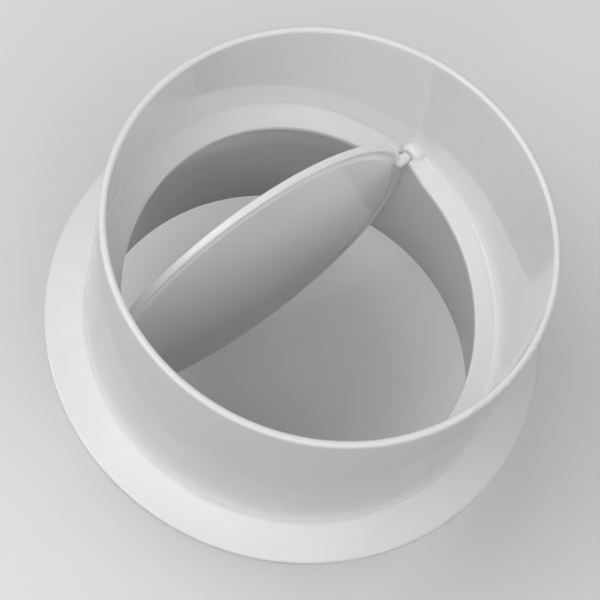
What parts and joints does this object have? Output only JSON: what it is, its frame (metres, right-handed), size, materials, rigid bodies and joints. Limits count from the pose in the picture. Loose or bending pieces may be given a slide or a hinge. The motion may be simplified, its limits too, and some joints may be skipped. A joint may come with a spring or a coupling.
{
  "type": "backdraft damper",
  "caption": "Round duct collar with a flange, a short spigot behind it and a pivoted flap that swings shut against two sloping ledges to stop air flowing back.",
  "frame": {"origin": "on the duct axis at the flange's underside, where the short collar starts", "axes": "+Z along the duct towards the long collar's rim, X along the flap's pivot, +Y from the duct axis towards the pivot"},
  "size_m": [0.178, 0.1785, 0.1475],
  "materials": {
    "housing_plastic": "gloss",
    "flap_plastic": "gloss"
  },
  "bodies": {
    "housing": {"housing": "housing_plastic"},
    "flap": {"flap": "flap_plastic"}
  },
  "joints": [
    {"name": "flap_hinge", "type": "hinge", "parent": "housing", "child": "flap", "pos_m": [0, 0.0237, 0.0232], "axis": [1, 0, 0], "range_deg": [-74.97, 0]}
  ]
}
